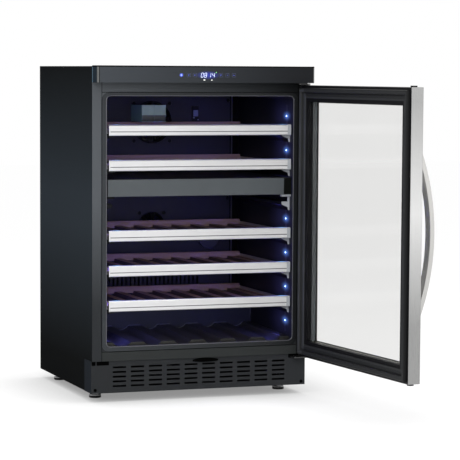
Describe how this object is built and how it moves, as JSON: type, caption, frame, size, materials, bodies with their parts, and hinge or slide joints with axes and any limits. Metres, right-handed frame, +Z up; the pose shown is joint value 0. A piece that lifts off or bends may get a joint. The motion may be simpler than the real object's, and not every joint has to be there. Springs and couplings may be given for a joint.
{
  "type": "wine cooler",
  "caption": "Undercounter wine cooler with two zones, a glass door on the right, sliding bottle shelves, blue side lights and a machine space behind a louvred plinth.",
  "frame": {"origin": "on the floor, midway across the cabinet, in the plane of the cabinet's front frame", "axes": "+X to the right of a person facing the door, +Y into the cabinet, +Z up"},
  "size_m": [0.6957, 1.1294, 0.876],
  "materials": {
    "charcoal_paint": "satin",
    "galvanised": "satin",
    "dark_liner": "satin",
    "insulation": "matte",
    "stainless": "satin",
    "black_plastic": "satin",
    "gloss_black": "gloss",
    "panel_black": "gloss",
    "clear_glass": "gloss",
    "grey_rubber": "matte",
    "spacer_metal": "satin",
    "aluminium_trim": "satin",
    "beech": "satin",
    "slide_steel": "satin",
    "light_grey_plastic": "satin",
    "mid_grey_plastic": "satin",
    "led_white": "gloss",
    "duct_grey": "satin",
    "smoked_plastic": "gloss",
    "circuit_green": "satin",
    "fin_aluminium": "satin",
    "black_enamel": "gloss",
    "foot_black": "satin",
    "copper_tube": "satin"
  },
  "bodies": {
    "cabinet": {"outer_wrapper": "charcoal_paint", "back_panel": "galvanised", "base_tray": "galvanised", "cabinet_foam": "insulation", "inner_liner": "dark_liner", "front_frame": "charcoal_paint", "kick_plate": "charcoal_paint", "fascia_housing": "charcoal_paint", "touch_panel": "panel_black", "control_board": "circuit_green", "top_hinge_bracket": "black_enamel", "bottom_hinge_bracket": "black_enamel", "zone_divider": "dark_liner", "divider_trim": "mid_grey_plastic", "led_strips": "led_white", "bottle_cradle": "mid_grey_plastic", "upper_duct_cover": "duct_grey", "lower_duct_cover": "duct_grey", "evaporator_fan_frames": "gloss_black", "charcoal_filter": "mid_grey_plastic", "humidity_box": "smoked_plastic", "sensor_clip": "mid_grey_plastic", "shelf_rails": "light_grey_plastic", "evaporators": "fin_aluminium", "compressor": "black_enamel", "condenser": "fin_aluminium", "condenser_fan_frame": "gloss_black", "drip_tray": "black_plastic", "power_inlet": "black_plastic", "refrigerant_lines": "copper_tube"},
    "door": {"door_frame": "stainless", "door_inner_frame": "black_plastic", "door_glass_outer": "clear_glass", "door_glass_inner": "clear_glass", "glass_spacer": "spacer_metal", "door_gasket": "grey_rubber", "door_handle": "stainless", "hinge_bushes": "black_plastic"},
    "upper_fan": {"upper_fan_impeller": "gloss_black"},
    "lower_fan": {"lower_fan_impeller": "gloss_black"},
    "condenser_fan": {"condenser_fan_impeller": "gloss_black"},
    "foot_front_left": {"foot_front_left": "foot_black"},
    "foot_front_right": {"foot_front_right": "foot_black"},
    "foot_rear_left": {"foot_rear_left": "foot_black"},
    "foot_rear_right": {"foot_rear_right": "foot_black"},
    "shelf_1": {"shelf_1_rack": "beech", "shelf_1_front": "aluminium_trim", "shelf_1_slides": "slide_steel"},
    "shelf_2": {"shelf_2_rack": "beech", "shelf_2_front": "aluminium_trim", "shelf_2_slides": "slide_steel"},
    "shelf_3": {"shelf_3_rack": "beech", "shelf_3_front": "aluminium_trim", "shelf_3_slides": "slide_steel"},
    "shelf_4": {"shelf_4_rack": "beech", "shelf_4_front": "aluminium_trim", "shelf_4_slides": "slide_steel"},
    "shelf_5": {"shelf_5_rack": "beech", "shelf_5_front": "aluminium_trim", "shelf_5_slides": "slide_steel"}
  },
  "joints": [
    {"name": "door_hinge", "type": "hinge", "parent": "cabinet", "child": "door", "pos_m": [0.2866, -0.022, 0.466], "axis": [0, 0, 1], "range_deg": [-95, 25]},
    {"name": "shelf_1_slide", "type": "slide", "parent": "cabinet", "child": "shelf_1", "axis": [0, -1, 0], "range_m": [0, 0.3]},
    {"name": "shelf_2_slide", "type": "slide", "parent": "cabinet", "child": "shelf_2", "axis": [0, -1, 0], "range_m": [0, 0.3]},
    {"name": "shelf_3_slide", "type": "slide", "parent": "cabinet", "child": "shelf_3", "axis": [0, -1, 0], "range_m": [0, 0.3]},
    {"name": "shelf_4_slide", "type": "slide", "parent": "cabinet", "child": "shelf_4", "axis": [0, -1, 0], "range_m": [0, 0.3]},
    {"name": "shelf_5_slide", "type": "slide", "parent": "cabinet", "child": "shelf_5", "axis": [0, -1, 0], "range_m": [0, 0.3]},
    {"name": "upper_fan_spin", "type": "hinge", "parent": "cabinet", "child": "upper_fan", "pos_m": [0, 0.44, 0.7194], "axis": [0, 1, 0], "continuous": true},
    {"name": "lower_fan_spin", "type": "hinge", "parent": "cabinet", "child": "lower_fan", "pos_m": [0, 0.44, 0.429], "axis": [0, 1, 0], "continuous": true},
    {"name": "condenser_fan_spin", "type": "hinge", "parent": "cabinet", "child": "condenser_fan", "pos_m": [-0.13, 0.436, 0.099], "axis": [1, 0, 0], "continuous": true},
    {"name": "foot_front_left_screw", "type": "slide", "parent": "cabinet", "child": "foot_front_left", "axis": [0, 0, -1], "range_m": [0, 0.012]},
    {"name": "foot_front_right_screw", "type": "slide", "parent": "cabinet", "child": "foot_front_right", "axis": [0, 0, -1], "range_m": [0, 0.012]},
    {"name": "foot_rear_left_screw", "type": "slide", "parent": "cabinet", "child": "foot_rear_left", "axis": [0, 0, -1], "range_m": [0, 0.012]},
    {"name": "foot_rear_right_screw", "type": "slide", "parent": "cabinet", "child": "foot_rear_right", "axis": [0, 0, -1], "range_m": [0, 0.012]}
  ]
}
